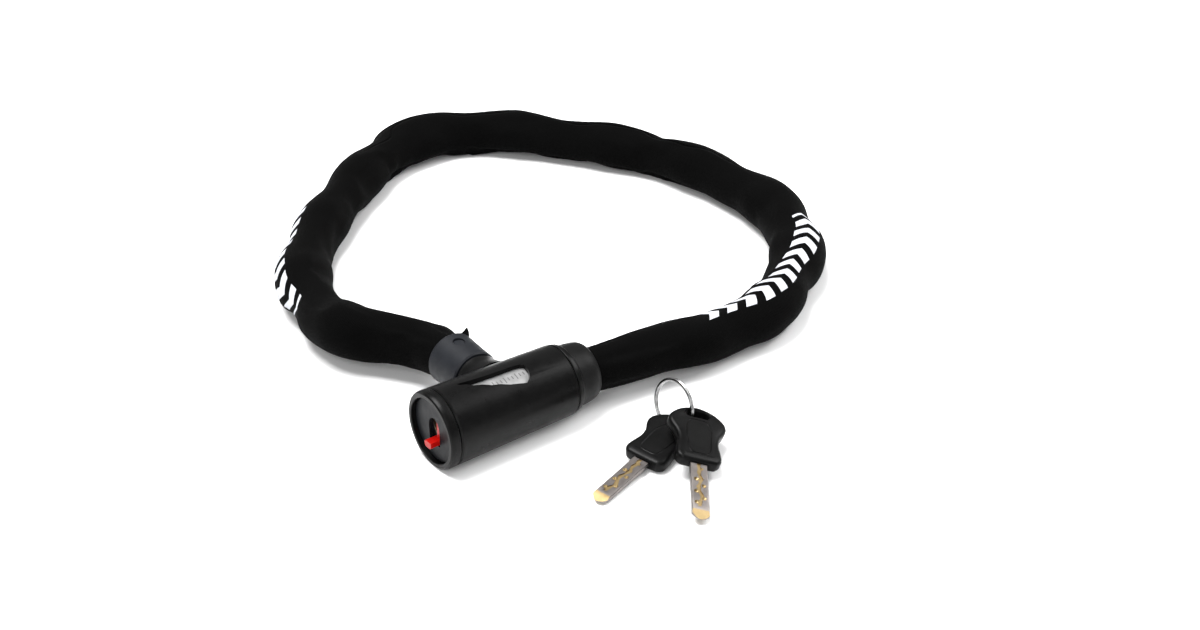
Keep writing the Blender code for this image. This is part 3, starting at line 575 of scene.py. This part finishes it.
def simulate_sleeve(obj, ring_count):
    """Lets the slightly over-long fabric settle over the chain and on to the table."""
    scene = bpy.context.scene
    helpers = []
    for name, node in frame["nodes"].items():
        if name.startswith("chain_link"):
            copy = node.copy()
            copy.data = node.data.copy()
            copy.parent = None
            scene.collection.objects.link(copy)
            helpers.append(copy)
    table_object = bpy.data.objects.new("settling_table", flat_square("settling_table", 0.6))
    scene.collection.objects.link(table_object)
    helpers.append(table_object)
    for helper in helpers:
        helper.modifiers.new("solid", "COLLISION")
        helper.collision.thickness_outer = CLOTH_GAP
        helper.collision.cloth_friction = 20.0
    held = obj.vertex_groups.new(name="held")
    for i in list(range(PINNED_RINGS)) + list(range(ring_count - PINNED_RINGS, ring_count)):
        held.add(list(range(i * SLEEVE_SIDES, (i + 1) * SLEEVE_SIDES)), 1.0, "REPLACE")
    cloth = obj.modifiers.new("cloth", "CLOTH")
    settings = cloth.settings
    settings.quality = 7
    settings.mass = 0.02
    settings.air_damping = 3.0
    settings.tension_stiffness = 18.0
    settings.compression_stiffness = 12.0
    settings.shear_stiffness = 8.0
    settings.bending_stiffness = 1.2
    settings.tension_damping = 8.0
    settings.compression_damping = 8.0
    settings.shear_damping = 8.0
    settings.bending_damping = 1.0
    settings.vertex_group_mass = "held"
    settings.shrink_min = -SLACK
    settings.use_pressure = True
    settings.uniform_pressure_force = CLOTH_PRESSURE
    settings.effector_weights.gravity = CLOTH_GRAVITY
    cloth.collision_settings.distance_min = CLOTH_GAP
    cloth.collision_settings.use_self_collision = False
    cloth.collision_settings.collision_quality = 3
    scene.frame_start, scene.frame_end = 1, LAST_FRAME
    cloth.point_cache.frame_start, cloth.point_cache.frame_end = 1, LAST_FRAME
    for step in range(1, CLOTH_STEPS + 1):
        scene.frame_set(step)
    graph = bpy.context.evaluated_depsgraph_get()
    settled = np.array([v.co for v in obj.evaluated_get(graph).data.vertices], float).reshape(-1, 3)
    start = np.array([v.co for v in obj.data.vertices], float).reshape(-1, 3)
    obj.modifiers.clear()
    obj.vertex_groups.clear()
    scene.frame_set(1)
    for helper in helpers:
        bpy.data.objects.remove(helper)
    move = settled - start
    far = np.linalg.norm(move, axis=1, keepdims=True)
    cap = MOST_SETTLING * MM
    move *= np.minimum(1.0, cap / np.maximum(far, 1e-9))
    settled = start + move
    settled[:, 2] = np.maximum(settled[:, 2], FLOOR_GAP * MM)
    obj.data.vertices.foreach_set("co", settled.astype(np.float32).ravel())
    obj.data.update()


def refine(points, rings, sides):
    """One smooth subdivision of a tube grid, closed round and open along: rows double, columns double."""
    grid = points.reshape(rings, sides, 3)
    before, after = np.roll(grid, 1, 1), np.roll(grid, -1, 1)
    further = np.roll(grid, -2, 1)
    wide = np.empty((rings, sides * 2, 3))
    wide[:, 0::2] = grid * 0.75 + (before + after) * 0.125
    wide[:, 1::2] = (grid + after) * 0.5625 - (before + further) * 0.0625
    padded = np.vstack([2 * wide[:1] - wide[1:2], wide, 2 * wide[-1:] - wide[-2:-1]])
    inner = padded[1:-1]
    long = np.empty((rings * 2 - 1, sides * 2, 3))
    long[0::2] = inner * 0.75 + (padded[:-2] + padded[2:]) * 0.125
    long[0], long[-1] = wide[0], wide[-1]
    a, b, c, d = padded[:-3], padded[1:-2], padded[2:-1], padded[3:]
    long[1::2] = (b + c) * 0.5625 - (a + d) * 0.0625
    return long


def grid_normals(grid):
    """Unit normals of a tube grid."""
    around = np.roll(grid, -1, 1) - np.roll(grid, 1, 1)
    along = np.gradient(grid, axis=0)
    normals = np.cross(around, along)
    return normals / np.maximum(np.linalg.norm(normals, axis=2, keepdims=True), 1e-12)


def cut_sleeve(grid, coords):
    """Cuts the settled tube in the middle of each link into separate pieces."""
    normals = grid_normals(grid)
    if np.einsum("ijk,ijk->ij", normals, grid - grid.mean(1, keepdims=True)).mean() < 0:
        normals = -normals
    rows, sides = grid.shape[:2]
    cuts = [0]
    for i in range(1, len(hinge_at) - 2):
        middle = (hinge_at[i] + hinge_at[i + 1]) / 2
        cuts.append(int(np.argmin(np.abs(coords - middle))))
    cuts.append(rows - 1)
    around = SLEEVE_RADIUS * math.tau
    for number, (low, high) in enumerate(zip(cuts, cuts[1:]), start=1):
        block = grid[low:high + 1]
        count = high - low + 1
        points = block.reshape(-1, 3)
        faces, uvs = [], []
        for i in range(count - 1):
            for k in range(sides):
                n = (k + 1) % sides
                faces.append((i * sides + k, i * sides + n, (i + 1) * sides + n, (i + 1) * sides + k))
                u0, u1 = around * (k / sides - 0.25), around * ((k + 1) / sides - 0.25)
                v0, v1 = coords[low + i] / MM, coords[low + i + 1] / MM
                uvs += [(u0, v0), (u1, v0), (u1, v1), (u0, v1)]
        mesh = bpy.data.meshes.new(f"sleeve_{number:02d}")
        mesh.from_pydata(points.tolist(), [], faces)
        mesh.update()
        layer = mesh.uv_layers.new(name="cloth")
        layer.data.foreach_set("uv", np.array(uvs, np.float32).ravel())
        mesh.materials.append(SLEEVE)
        mesh.shade_smooth()
        mesh.normals_split_custom_set_from_vertices(normals[low:high + 1].reshape(-1, 3).tolist())
        obj = bpy.data.objects.new(mesh.name, mesh)
        bpy.context.scene.collection.objects.link(obj)
        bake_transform(obj)
        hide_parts("fabric_sleeve")


def make_sleeve():
    """Builds, settles, refines and cuts the sleeve, kept clear of the links at each stage."""
    rings, coords = build_sleeve()
    grid = np.array([[list(p) for p in ring] for ring in rings])
    for _ in range(3):
        clear_links(grid, coords)
        relax(grid)
    clear_links(grid, coords)
    obj = sleeve_mesh(grid, "sleeve_blank")
    simulate_sleeve(obj, len(rings))
    points = np.array([v.co for v in obj.data.vertices], float).reshape(-1, 3)
    bpy.data.objects.remove(obj)
    blank = points.reshape(len(rings), SLEEVE_SIDES, 3)
    clear_links(blank, coords)
    relax(blank, 1)
    clear_links(blank, coords)
    grid = refine(blank, len(rings), SLEEVE_SIDES)
    fine = np.interp(np.arange(grid.shape[0]) / 2, np.arange(len(coords)), coords)
    for _ in range(2):
        clear_links(grid, fine)
        relax(grid, 1)
    clear_links(grid, fine)
    cut_sleeve(grid, fine)


def rim_of(grid):
    """The outer points of a grid, in order round it."""
    return grid[0] + [g[-1] for g in grid[1:]] + grid[-1][-2::-1] + [g[0] for g in grid[-2:0:-1]]


def make_flap():
    """The pointed end of the sleeve's hem, standing up behind the collar."""
    bm = bmesh.new()
    columns, rows, thick = 8, 6, 0.45
    layers = []
    for face in (-1, 1):
        grid = []
        for i in range(rows + 1):
            t = i / rows
            wide = FLAP_HALF_ANGLE * (1.0 - t) ** 0.8 + 1.2
            line = []
            for k in range(columns + 1):
                angle = math.radians(FLAP_ANGLE + wide * (2 * k / columns - 1))
                radius = FLAP_ROOT + FLAP_HEIGHT * t - 0.6 * t * (2 * k / columns - 1) ** 2
                curl = 2.4 * t * t + 0.3 * math.sin(5 * t + k)
                back = COLLAR_REAR - 0.4 + face * thick * (1.0 - 0.5 * t) + curl
                x, z = BOLT_X + radius * math.cos(angle), AXIS_Z + radius * math.sin(angle)
                line.append(bm.verts.new(at(x, back, z)))
            grid.append(line)
        layers.append(grid)
    for grid in layers:
        for low, high in zip(grid, grid[1:]):
            for k in range(columns):
                bm.faces.new((low[k], low[k + 1], high[k + 1], high[k]))
    bridge(bm, *(rim_of(grid) for grid in layers))
    finish_piece(bm, "sleeve_hem_flap", TAPE, "chain_end")


make_sleeve()
make_flap()


# Keys


def key_frame(tip, heading, tilt, roll):
    """Matrix in millimetres whose U runs from the key's tip to its head, V to its left and W up."""
    turn = Matrix.Rotation(math.radians(heading), 4, "Z")
    turn = turn @ Matrix.Rotation(math.radians(-tilt), 4, "Y") @ Matrix.Rotation(math.radians(roll), 4, "X")
    return Matrix.Translation(Vector(tip)) @ turn


def closed_spline(points, steps):
    """Catmull-Rom loop through 2-D points."""
    out, n = [], len(points)
    for i in range(n):
        a, b, c, d = (np.array(points[(i + k) % n], float) for k in (-1, 0, 1, 2))
        for j in range(steps):
            t = j / steps
            bend = (2 * a - 5 * b + 4 * c - d) * t**2 + (3 * b - a - 3 * c + d) * t**3
            out.append((2 * b + (c - a) * t + bend) / 2)
    return np.array(out)


def inset_loop(loop, distance):
    """Moves a counter-clockwise loop inwards."""
    ahead = np.roll(loop, -1, 0) - np.roll(loop, 1, 0)
    ahead /= np.linalg.norm(ahead, axis=1, keepdims=True)
    inward = np.stack([-ahead[:, 1], ahead[:, 0]], 1)
    area = np.sum(loop[:, 0] * np.roll(loop[:, 1], -1) - np.roll(loop[:, 0], -1) * loop[:, 1])
    return loop + inward * distance * (1 if area > 0 else -1)


def head_loop():
    """Outline of the head: broad shoulders, a waist and a wide round back."""
    waist = [(36.6, 6.4), (37.4, 9.6), (40.2, 11.5), (45.0, 11.3), (50.5, 10.5), (56.0, 11.4)]
    half = waist + [(60.6, 13.9), (64.0, 14.9), (67.6, 14.0), (71.3, 10.8), (74.2, 6.0)]
    loop = half + [(HEAD_BACK, 0.0)] + [(u, -v) for u, v in reversed(half)]
    return closed_spline(loop, 5)


def stacked(bm, loops, to_world):
    """Closed body from loops of (points, height), capped at both ends."""
    made = [[bm.verts.new(to_world(p[0], p[1], h)) for p in loop] for loop, h in loops]
    for first, second in zip(made, made[1:]):
        bridge(bm, first, second)
    bm.faces.new(made[0])
    bm.faces.new(made[-1])


def cutter(bm, name, material):
    """Hidden body that is taken away from another."""
    obj = finish_piece(bm, name, material, None, smooth=False)
    obj.hide_render = True
    return obj


def carve(obj, others, keep_material=False):
    """Takes the others away from an object and removes them."""
    for other in others:
        modifier = obj.modifiers.new(other.name, "BOOLEAN")
        modifier.operation = "DIFFERENCE"
        modifier.solver = "EXACT"
        modifier.object = other
        if keep_material:
            modifier.material_mode = "TRANSFER"
    apply_modifiers(obj)
    for other in others:
        bpy.data.objects.remove(other)


def swept_loop(bm, path, radius, to_world, closed=True, sides=8):
    """Round bead along a path of (u, v, w)."""
    rings, n = [], len(path)
    for i, p in enumerate(path):
        before = path[i - 1] if closed or i else p
        after = path[(i + 1) % n] if closed or i < n - 1 else p
        ahead = (Vector(after) - Vector(before)).normalized()
        side = Z_DIR.cross(ahead).normalized()
        ring = []
        for k in range(sides):
            angle = math.tau * k / sides
            q = Vector(p) + side * math.cos(angle) * radius + Z_DIR * math.sin(angle) * radius
            ring.append(bm.verts.new(to_world(*q)))
        rings.append(ring)
    for first, second in zip(rings, rings[1:]):
        bridge(bm, first, second)
    if closed:
        bridge(bm, rings[-1], rings[0])
    else:
        bm.faces.new(rings[0])
        bm.faces.new(rings[-1])


def slot_loop(grow=0.0, count=12):
    """Outline of the slot for the ring, with round ends."""
    reach, radius = SLOT_LENGTH / 2 - SLOT_WIDTH / 2, SLOT_WIDTH / 2 + grow
    loop = []
    for side in (1, -1):
        for i in range(count):
            angle = math.pi * i / (count - 1) - math.pi / 2
            across = side * (reach + radius * math.cos(angle))
            loop.append((SLOT_U - side * radius * math.sin(angle), across))
    return np.array(loop)


def round_corners(points, steps=6, pull=0.28):
    """Softens a polygon's corners."""
    out, n = [], len(points)
    for i in range(n):
        a, b, c = (np.array(points[(i + k) % n], float) for k in (-1, 0, 1))
        start, end = b + (a - b) * pull, b + (c - b) * pull
        for j in range(steps + 1):
            t = j / steps
            out.append((1 - t) ** 2 * start + 2 * t * (1 - t) * b + t * t * end)
    return np.array(out)


def key_head(label, to_world):
    """Rounded grip with its slot, the mouth for the blade and a grooved panel on both faces."""
    loop = head_loop()
    half = HEAD_THICK / 2
    steps = [(0.0, 1.3), (0.12, 2.0), (0.45, 2.6), (0.95, 3.0), (1.7, 3.28), (2.9, 3.43), (4.2, half)]
    loops = [(inset_loop(loop, d), -h) for d, h in reversed(steps)]
    loops += [(inset_loop(loop, d), h) for d, h in steps]
    bm = bmesh.new()
    stacked(bm, loops, to_world)
    obj = finish_piece(bm, f"key_{label}_grip", HEAD, f"key_{label}", [f"key_{label}_head"])
    tools = []
    bm = bmesh.new()
    flare = [(1.0, half + 1.0), (0.9, half - 0.15), (0.25, half - 0.7), (0.0, half - 1.3)]
    levels = [(slot_loop(grow), -h) for grow, h in flare]
    levels += [(slot_loop(grow), h) for grow, h in reversed(flare)]
    stacked(bm, levels, to_world)
    tools.append(cutter(bm, f"slot_{label}", HEAD))
    bm = bmesh.new()
    hw, ht = BLADE_WIDTH / 2 + 0.15, BLADE_THICK / 2 + 0.12
    tang = BLADE_LENGTH + TANG_LENGTH + 0.2
    mouth = np.array([(30.0, -hw), (tang, -hw), (tang, hw), (30.0, hw)])
    stacked(bm, [(mouth, -ht), (mouth, ht)], to_world)
    tools.append(cutter(bm, f"mouth_{label}", HEAD))
    panel = round_corners([(41.5, 5.4), (41.5, -5.4), (58.5, -6.6), (65.2, -4.4), (65.2, 4.4), (58.5, 6.6)])
    for side in (1, -1):
        bm = bmesh.new()
        swept_loop(bm, [(u, v, side * (half + 0.05)) for u, v in panel], 0.42, to_world)
        tools.append(cutter(bm, f"panel_{label}_{side + 1}", HEAD))
    carve(obj, tools)
    obj.data.shade_smooth()
    obj.data.set_sharp_from_angle(angle=math.radians(38))


def track_path():
    """Middle line of the milled track along the blade: straight at the head, wandering towards the tip."""
    path = []
    for u in np.arange(7.5, 36.6, 0.6):
        sway = smoothstep(0.0, 14.0, 34.0 - u) if u > 27 else 1.0
        path.append((u, 0.75 * math.sin((u - 5.0) * 0.52) * sway))
    return path


# Milled dimples beside the track: (along, across, radius) in millimetres
DIMPLES = (
    (10.0, 1.9, 1.15),
    (13.2, -1.7, 1.2),
    (17.4, 1.8, 1.2),
    (21.6, -1.9, 1.1),
    (25.6, 1.7, 1.2),
    (33.0, -1.3, 0.8),
)


def chisel_cutter(label, side, to_world):
    """Wedge that slopes the blade's face down to its tip."""
    bm = bmesh.new()
    top = BLADE_THICK / 2 + 0.02
    wedge = [(-2.0, top), (5.6, top), (-2.0, -0.25)]
    ends = [[bm.verts.new(to_world(u, v, side * w)) for u, w in wedge] for v in (-7.0, 7.0)]
    bridge(bm, *ends)
    bm.faces.new(ends[0])
    bm.faces.new(ends[1])
    return cutter(bm, f"chisel_{label}_{side + 1}", GOLD)


def track_cutter(label, side, to_world):
    """Milled track down one face of the blade."""
    bm = bmesh.new()
    middle = track_path()
    left = [(u, v + 0.95 + 0.25 * math.sin(u * 1.3)) for u, v in middle]
    right = [(u, v - 0.95 + 0.25 * math.sin(u * 1.1 + 1.0)) for u, v in middle]
    track = np.array(left + right[::-1])
    low, high = sorted((side * (BLADE_THICK / 2 - 0.45), side * (BLADE_THICK / 2 + 0.5)))
    stacked(bm, [(track, low), (track, high)], to_world)
    return cutter(bm, f"track_{label}_{side + 1}", GOLD)


def dimple_cutter(label, side, number, to_world):
    """Shallow cone with its point in the blade."""
    u, v, r = DIMPLES[number]
    bm = bmesh.new()
    levels = []
    for share, height in ((0.25, -0.75), (0.75, -0.35), (1.25, 0.2)):
        angles = np.linspace(0, math.tau, 19)[:-1]
        circle = [(u + r * share * math.cos(a), v * side + r * share * math.sin(a)) for a in angles]
        levels.append((np.array(circle), side * (BLADE_THICK / 2 + height)))
    stacked(bm, levels, to_world)
    return cutter(bm, f"dimple_{label}_{side + 1}_{number}", GOLD)


def key_blade(label, to_world):
    """Flat blade with a chisel tip, a track and dimples on both faces."""
    hw, ht = BLADE_WIDTH / 2, BLADE_THICK / 2
    tang = BLADE_LENGTH + TANG_LENGTH
    tip = [(3.2, hw), (0.9, 2.2), (0.1, 0.5), (0.1, -0.5), (1.1, -2.8), (2.8, -hw)]
    outline = np.array([(tang, hw)] + tip + [(tang, -hw)])
    inner = inset_loop(outline, 0.28)
    bm = bmesh.new()
    stacked(bm, [(inner, -ht), (outline, 0.28 - ht), (outline, ht - 0.28), (inner, ht)], to_world)
    name = f"key_{label}_bit"
    obj = finish_piece(bm, name, [NICKEL, GOLD], f"key_{label}", [f"key_{label}_blade"])
    tools = []
    for side in (1, -1):
        tools.append(chisel_cutter(label, side, to_world))
        tools.append(track_cutter(label, side, to_world))
        tools += [dimple_cutter(label, side, number, to_world) for number in range(len(DIMPLES))]
    carve(obj, tools, keep_material=True)
    obj.data.shade_smooth()
    obj.data.set_sharp_from_angle(angle=math.radians(28))


def key_ring():
    """Split ring: two turns of flat wire lying against each other."""
    normal = Vector(RING_NORMAL).normalized()
    along = normal.cross(Z_DIR).normalized()
    upward = along.cross(normal)
    centre = at(*RING_CENTRE)
    bm = bmesh.new()
    rings, turns, per_turn = [], 1.94, 72
    total = int(turns * per_turn)
    first_angle = 3.9
    for i in range(total + 1):
        angle = first_angle + math.tau * i / per_turn
        outward = along * math.cos(angle) + upward * math.sin(angle)
        shift = 0.94 * (smoothstep(0.42, 0.58, i / total) - 0.5)
        ring = []
        for k in range(12):
            t = math.tau * k / 12
            c, s = math.cos(t), math.sin(t)
            radial = math.copysign(abs(c) ** 0.6, c) * 0.86
            axial = math.copysign(abs(s) ** 0.6, s) * 0.43 + shift
            ring.append(bm.verts.new(centre + (outward * (RING_RADIUS + radial) + normal * axial) * MM))
        rings.append(ring)
    for first, second in zip(rings, rings[1:]):
        bridge(bm, first, second)
    bm.faces.new(rings[0])
    bm.faces.new(rings[-1])
    obj = finish_piece(bm, "split_ring_wire", RING_STEEL, "split_ring", ["key_ring"])
    obj.data.set_sharp_from_angle(angle=math.radians(50))


for label, place in KEY_PLACES.items():
    turn = key_frame(*place)

    def key_point(u, v, w, turn=turn):
        return at(*(turn @ Vector((u, v, w))))

    key_head(label, key_point)
    key_blade(label, key_point)
key_ring()


# Frame nodes


def dress(name, material, bevel=0.3, angle=32.0):
    """Smooth shading, softened edges and a material on a CAD node."""
    obj = frame["nodes"][name]
    mesh = obj.data
    mesh.materials.clear()
    mesh.materials.append(material)
    if "custom_normal" in mesh.attributes:
        mesh.attributes.remove(mesh.attributes["custom_normal"])
    mesh.shade_smooth()
    weld = obj.modifiers.new("weld", "WELD")
    weld.merge_threshold = 0.000002
    edge = obj.modifiers.new("edges", "BEVEL")
    edge.width = bevel * MM
    edge.segments = 2
    edge.limit_method = "ANGLE"
    edge.angle_limit = math.radians(angle)
    edge.harden_normals = True
    edge.use_clamp_overlap = True


# (material, edge softening in millimetres) of each CAD node that shows or that a moved piece uncovers
LOOKS = {
    "front_bezel": (BLACK, 0.35),
    "housing_shell": (BLACK, 0.35),
    "face_plate": (PLATE, 0.2),
    "rear_band": (BLACK, 0.25),
    "rear_neck": (RUBBER, 0.3),
    "end_collar": (COLLAR, 0.45),
    "seal_ring": (RUBBER, 0.2),
    "keyhole_shutter": (RED, 0.35),
    "label_plate": (label_material(), 0.1),
    "lock_core": (CAST, 0.2),
    "key_plug": (BRASS, 0.15),
    "cylinder_housing": (BRASS, 0.15),
    "plug_cam": (STEEL, 0.15),
    "plug_clip": (SPRING, 0.08),
    "latch": (STEEL, 0.15),
    "latch_spring": (SPRING, 0.02),
    "socket_liner": (STEEL, 0.15),
    "anchor_pin": (STEEL, 0.3),
    "bolt_pin": (STEEL, 0.3),
    "end_cross_pin": (COLLAR, 0.3),
}
for name in frame["nodes"]:
    if name.startswith("chain_link"):
        dress(name, STEEL, 0.05, 60.0)
    elif name.startswith("key_pin"):
        dress(name, BRASS, 0.1)
    elif name.startswith("driver_pin"):
        dress(name, STEEL, 0.1)
    elif name in LOOKS:
        dress(name, *LOOKS[name])


# Stage, light and camera


def floor():
    """Pale paper that the lock lies on."""
    mesh = flat_square("floor", 6.0)
    obj = bpy.data.objects.new("floor", mesh)
    bpy.context.scene.collection.objects.link(obj)
    g = Graph("floor_paper", roughness=0.9, specular_ior_level=0.2)
    tone = g.noise(g.place(), 3.0, 2.0, 0.5)
    g.set("Base Color", g.mix(tone, grey(0.86), grey(0.90)))
    mesh.materials.append(g.material)


def area_light(name, place, target, size, power):
    """Round white light aimed at a point."""
    data = bpy.data.lights.new(name, "AREA")
    data.shape = "DISK"
    data.size = size
    data.energy = power
    obj = bpy.data.objects.new(name, data)
    obj.location = place
    obj.rotation_mode = "QUATERNION"
    obj.rotation_quaternion = (Vector(target) - Vector(place)).to_track_quat("-Z", "Y")
    bpy.context.scene.collection.objects.link(obj)


floor()
aim = at(130, 60, 10)
area_light("key_light", at(-150, 350, 1400), aim, 1.0, 44.0)
area_light("front_fill", at(-900, -900, 900), aim, 0.9, 12.0)
area_light("side_light", at(1100, -300, 1000), aim, 0.8, 14.0)
world = bpy.data.worlds.new("studio")
world.use_nodes = True
background = world.node_tree.nodes["Background"]
background.inputs["Color"].default_value = (1.0, 1.0, 1.0, 1.0)
background.inputs["Strength"].default_value = 0.42
bpy.context.scene.world = world
bpy.context.scene.view_settings.view_transform = "Standard"

CAMERA_PLACE = (-346.8, -595.1, 483.4)
CAMERA_AIM = (0.5215, 0.6891, -0.5032)
camera_data = bpy.data.cameras.new("camera")
camera_data.lens = 51.0
camera_data.sensor_width = 36.0
camera_data.clip_start, camera_data.clip_end = 0.01, 50.0
camera = bpy.data.objects.new("camera", camera_data)
camera.location = at(*CAMERA_PLACE)
camera.rotation_mode = "QUATERNION"
camera.rotation_quaternion = Vector(CAMERA_AIM).to_track_quat("-Z", "Y")
bpy.context.scene.collection.objects.link(camera)
bpy.context.scene.camera = camera
